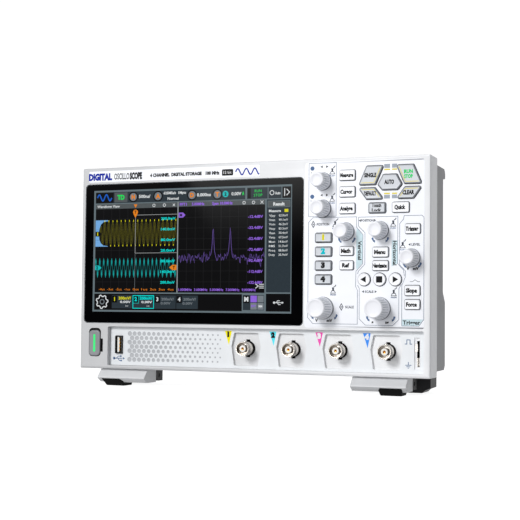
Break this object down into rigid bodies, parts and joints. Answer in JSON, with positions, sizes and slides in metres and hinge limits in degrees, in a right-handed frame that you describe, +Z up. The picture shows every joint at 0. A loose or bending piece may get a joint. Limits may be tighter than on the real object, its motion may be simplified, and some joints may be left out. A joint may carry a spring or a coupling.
{
  "type": "oscilloscope",
  "caption": "Bench oscilloscope with a large touch screen, keys, turning knobs, coaxial inputs, fold-out tilt legs and a fan behind a vented rear cover",
  "frame": {"origin": "centre of the underside of the whole part, on the surface it stands on", "axes": "+X to the right, the front panel faces -Y, +Z up"},
  "size_m": [0.2654, 0.077, 0.1618],
  "materials": {
    "bezel_plastic": "fine satin texture",
    "cover_glass": "gloss",
    "display_frame": "satin",
    "silicone_mat": "matt",
    "circuit_board": "satin solder mask",
    "encoder_metal": "satin",
    "cover_plastic": "fine texture",
    "nickel_metal": "polished",
    "white_insulator": "satin",
    "gold_contact": "polished",
    "socket_steel": "satin",
    "foot_plastic": "fine texture",
    "screw_steel": "satin",
    "fan_plastic": "satin",
    "leg_plastic": "fine satin texture",
    "black_rubber": "matt",
    "power_key_plastic": "satin",
    "key_grey": "satin",
    "key_white": "satin",
    "knob_plastic": "satin"
  },
  "bodies": {
    "case": {"front_bezel": "bezel_plastic", "touch_glass": "cover_glass", "lcd_module": "display_frame", "keypad_mat": "silicone_mat", "front_panel_pcb": "circuit_board", "encoder_housings": "encoder_metal", "main_pcb": "circuit_board", "rear_cover": "cover_plastic", "bnc_shells": "nickel_metal", "bnc_insulators": "white_insulator", "bnc_contacts": "gold_contact", "interface_sockets": "socket_steel", "probe_terminals": "socket_steel", "base_feet": "foot_plastic", "case_screws": "screw_steel", "fan_frame": "fan_plastic"},
    "power_button": {"power_button": "power_key_plastic"},
    "key_measure": {"key_measure": "key_white"},
    "key_cursor": {"key_cursor": "key_white"},
    "key_analyse": {"key_analyse": "key_white"},
    "key_math": {"key_math": "key_white"},
    "key_ref": {"key_ref": "key_white"},
    "key_channel_1": {"key_channel_1": "key_grey"},
    "key_channel_2": {"key_channel_2": "key_grey"},
    "key_channel_3": {"key_channel_3": "key_grey"},
    "key_channel_4": {"key_channel_4": "key_grey"},
    "key_menu": {"key_menu": "key_white"},
    "key_navigate": {"key_navigate": "key_white"},
    "key_trigger": {"key_trigger": "key_white"},
    "key_slope": {"key_slope": "key_white"},
    "key_force": {"key_force": "key_white"},
    "key_touch_lock": {"key_touch_lock": "key_grey"},
    "key_quick": {"key_quick": "key_white"},
    "key_back": {"key_back": "key_white"},
    "key_stop": {"key_stop": "key_white"},
    "key_forward": {"key_forward": "key_white"},
    "key_single": {"key_single": "key_grey"},
    "key_run_stop": {"key_run_stop": "key_grey"},
    "key_default": {"key_default": "key_grey"},
    "key_clear": {"key_clear": "key_grey"},
    "key_auto": {"key_auto": "key_grey"},
    "shaft_multi_1": {"shaft_multi_1": "encoder_metal"},
    "knob_multi_1": {"knob_multi_1": "knob_plastic"},
    "shaft_multi_2": {"shaft_multi_2": "encoder_metal"},
    "knob_multi_2": {"knob_multi_2": "knob_plastic"},
    "shaft_vertical_position": {"shaft_vertical_position": "encoder_metal"},
    "knob_vertical_position": {"knob_vertical_position": "knob_plastic"},
    "shaft_horizontal_position": {"shaft_horizontal_position": "encoder_metal"},
    "knob_horizontal_position": {"knob_horizontal_position": "knob_plastic"},
    "shaft_trigger_level": {"shaft_trigger_level": "encoder_metal"},
    "knob_trigger_level": {"knob_trigger_level": "knob_plastic"},
    "shaft_vertical_scale": {"shaft_vertical_scale": "encoder_metal"},
    "knob_vertical_scale": {"knob_vertical_scale": "knob_plastic"},
    "shaft_horizontal_scale": {"shaft_horizontal_scale": "encoder_metal"},
    "knob_horizontal_scale": {"knob_horizontal_scale": "knob_plastic"},
    "leg_left": {"tilt_leg_left": "leg_plastic", "leg_pad_left": "black_rubber"},
    "leg_right": {"tilt_leg_right": "leg_plastic", "leg_pad_right": "black_rubber"},
    "fan_rotor": {"fan_rotor": "fan_plastic"}
  },
  "joints": [
    {"name": "power_button_press", "type": "slide", "parent": "case", "child": "power_button", "axis": [0, 1, 0], "range_m": [0, 0.0006], "stiffness_N_per_m": 400},
    {"name": "key_measure_press", "type": "slide", "parent": "case", "child": "key_measure", "axis": [0, 1, 0], "range_m": [0, 0.0006], "stiffness_N_per_m": 400},
    {"name": "key_cursor_press", "type": "slide", "parent": "case", "child": "key_cursor", "axis": [0, 1, 0], "range_m": [0, 0.0006], "stiffness_N_per_m": 400},
    {"name": "key_analyse_press", "type": "slide", "parent": "case", "child": "key_analyse", "axis": [0, 1, 0], "range_m": [0, 0.0006], "stiffness_N_per_m": 400},
    {"name": "key_math_press", "type": "slide", "parent": "case", "child": "key_math", "axis": [0, 1, 0], "range_m": [0, 0.0006], "stiffness_N_per_m": 400},
    {"name": "key_ref_press", "type": "slide", "parent": "case", "child": "key_ref", "axis": [0, 1, 0], "range_m": [0, 0.0006], "stiffness_N_per_m": 400},
    {"name": "key_channel_1_press", "type": "slide", "parent": "case", "child": "key_channel_1", "axis": [0, 1, 0], "range_m": [0, 0.0006], "stiffness_N_per_m": 400},
    {"name": "key_channel_2_press", "type": "slide", "parent": "case", "child": "key_channel_2", "axis": [0, 1, 0], "range_m": [0, 0.0006], "stiffness_N_per_m": 400},
    {"name": "key_channel_3_press", "type": "slide", "parent": "case", "child": "key_channel_3", "axis": [0, 1, 0], "range_m": [0, 0.0006], "stiffness_N_per_m": 400},
    {"name": "key_channel_4_press", "type": "slide", "parent": "case", "child": "key_channel_4", "axis": [0, 1, 0], "range_m": [0, 0.0006], "stiffness_N_per_m": 400},
    {"name": "key_menu_press", "type": "slide", "parent": "case", "child": "key_menu", "axis": [0, 1, 0], "range_m": [0, 0.0006], "stiffness_N_per_m": 400},
    {"name": "key_navigate_press", "type": "slide", "parent": "case", "child": "key_navigate", "axis": [0, 1, 0], "range_m": [0, 0.0006], "stiffness_N_per_m": 400},
    {"name": "key_trigger_press", "type": "slide", "parent": "case", "child": "key_trigger", "axis": [0, 1, 0], "range_m": [0, 0.0006], "stiffness_N_per_m": 400},
    {"name": "key_slope_press", "type": "slide", "parent": "case", "child": "key_slope", "axis": [0, 1, 0], "range_m": [0, 0.0006], "stiffness_N_per_m": 400},
    {"name": "key_force_press", "type": "slide", "parent": "case", "child": "key_force", "axis": [0, 1, 0], "range_m": [0, 0.0006], "stiffness_N_per_m": 400},
    {"name": "key_touch_lock_press", "type": "slide", "parent": "case", "child": "key_touch_lock", "axis": [0, 1, 0], "range_m": [0, 0.0006], "stiffness_N_per_m": 400},
    {"name": "key_quick_press", "type": "slide", "parent": "case", "child": "key_quick", "axis": [0, 1, 0], "range_m": [0, 0.0006], "stiffness_N_per_m": 400},
    {"name": "key_back_press", "type": "slide", "parent": "case", "child": "key_back", "axis": [0, 1, 0], "range_m": [0, 0.0006], "stiffness_N_per_m": 400},
    {"name": "key_stop_press", "type": "slide", "parent": "case", "child": "key_stop", "axis": [0, 1, 0], "range_m": [0, 0.0006], "stiffness_N_per_m": 400},
    {"name": "key_forward_press", "type": "slide", "parent": "case", "child": "key_forward", "axis": [0, 1, 0], "range_m": [0, 0.0006], "stiffness_N_per_m": 400},
    {"name": "key_single_press", "type": "slide", "parent": "case", "child": "key_single", "axis": [0, 1, 0], "range_m": [0, 0.0006], "stiffness_N_per_m": 400},
    {"name": "key_run_stop_press", "type": "slide", "parent": "case", "child": "key_run_stop", "axis": [0, 1, 0], "range_m": [0, 0.0006], "stiffness_N_per_m": 400},
    {"name": "key_default_press", "type": "slide", "parent": "case", "child": "key_default", "axis": [0, 1, 0], "range_m": [0, 0.0006], "stiffness_N_per_m": 400},
    {"name": "key_clear_press", "type": "slide", "parent": "case", "child": "key_clear", "axis": [0, 1, 0], "range_m": [0, 0.0006], "stiffness_N_per_m": 400},
    {"name": "key_auto_press", "type": "slide", "parent": "case", "child": "key_auto", "axis": [0, 1, 0], "range_m": [0, 0.0006], "stiffness_N_per_m": 400},
    {"name": "knob_multi_1_push", "type": "slide", "parent": "case", "child": "shaft_multi_1", "axis": [0, 1, 0], "range_m": [0, 0.0005], "stiffness_N_per_m": 800},
    {"name": "knob_multi_1_turn", "type": "hinge", "parent": "shaft_multi_1", "child": "knob_multi_1", "pos_m": [0.05742, -0.02982, 0.1458], "axis": [0, 1, 0], "continuous": true},
    {"name": "knob_multi_2_push", "type": "slide", "parent": "case", "child": "shaft_multi_2", "axis": [0, 1, 0], "range_m": [0, 0.0005], "stiffness_N_per_m": 800},
    {"name": "knob_multi_2_turn", "type": "hinge", "parent": "shaft_multi_2", "child": "knob_multi_2", "pos_m": [0.05742, -0.02982, 0.127], "axis": [0, 1, 0], "continuous": true},
    {"name": "knob_vertical_position_push", "type": "slide", "parent": "case", "child": "shaft_vertical_position", "axis": [0, 1, 0], "range_m": [0, 0.0005], "stiffness_N_per_m": 800},
    {"name": "knob_vertical_position_turn", "type": "hinge", "parent": "shaft_vertical_position", "child": "knob_vertical_position", "pos_m": [0.07402, -0.02982, 0.1109], "axis": [0, 1, 0], "continuous": true},
    {"name": "knob_horizontal_position_push", "type": "slide", "parent": "case", "child": "shaft_horizontal_position", "axis": [0, 1, 0], "range_m": [0, 0.0005], "stiffness_N_per_m": 800},
    {"name": "knob_horizontal_position_turn", "type": "hinge", "parent": "shaft_horizontal_position", "child": "knob_horizontal_position", "pos_m": [0.09813, -0.02982, 0.1113], "axis": [0, 1, 0], "continuous": true},
    {"name": "knob_trigger_level_push", "type": "slide", "parent": "case", "child": "shaft_trigger_level", "axis": [0, 1, 0], "range_m": [0, 0.0005], "stiffness_N_per_m": 800},
    {"name": "knob_trigger_level_turn", "type": "hinge", "parent": "shaft_trigger_level", "child": "knob_trigger_level", "pos_m": [0.11972, -0.02982, 0.0926], "axis": [0, 1, 0], "continuous": true},
    {"name": "knob_vertical_scale_push", "type": "slide", "parent": "case", "child": "shaft_vertical_scale", "axis": [0, 1, 0], "range_m": [0, 0.0005], "stiffness_N_per_m": 800},
    {"name": "knob_vertical_scale_turn", "type": "hinge", "parent": "shaft_vertical_scale", "child": "knob_vertical_scale", "pos_m": [0.05803, -0.02982, 0.0586], "axis": [0, 1, 0], "continuous": true},
    {"name": "knob_horizontal_scale_push", "type": "slide", "parent": "case", "child": "shaft_horizontal_scale", "axis": [0, 1, 0], "range_m": [0, 0.0005], "stiffness_N_per_m": 800},
    {"name": "knob_horizontal_scale_turn", "type": "hinge", "parent": "shaft_horizontal_scale", "child": "knob_horizontal_scale", "pos_m": [0.09813, -0.02982, 0.0586], "axis": [0, 1, 0], "continuous": true},
    {"name": "leg_left_fold", "type": "hinge", "parent": "case", "child": "leg_left", "pos_m": [-0.09732, 0.00068, 0.0076], "axis": [1, 0, 0], "range_deg": [0, 75]},
    {"name": "leg_right_fold", "type": "hinge", "parent": "case", "child": "leg_right", "pos_m": [0.09732, 0.00068, 0.0076], "axis": [1, 0, 0], "range_deg": [0, 75]},
    {"name": "fan_spin", "type": "hinge", "parent": "case", "child": "fan_rotor", "pos_m": [0.08532, 0.02118, 0.1075], "axis": [0, 1, 0], "continuous": true}
  ]
}
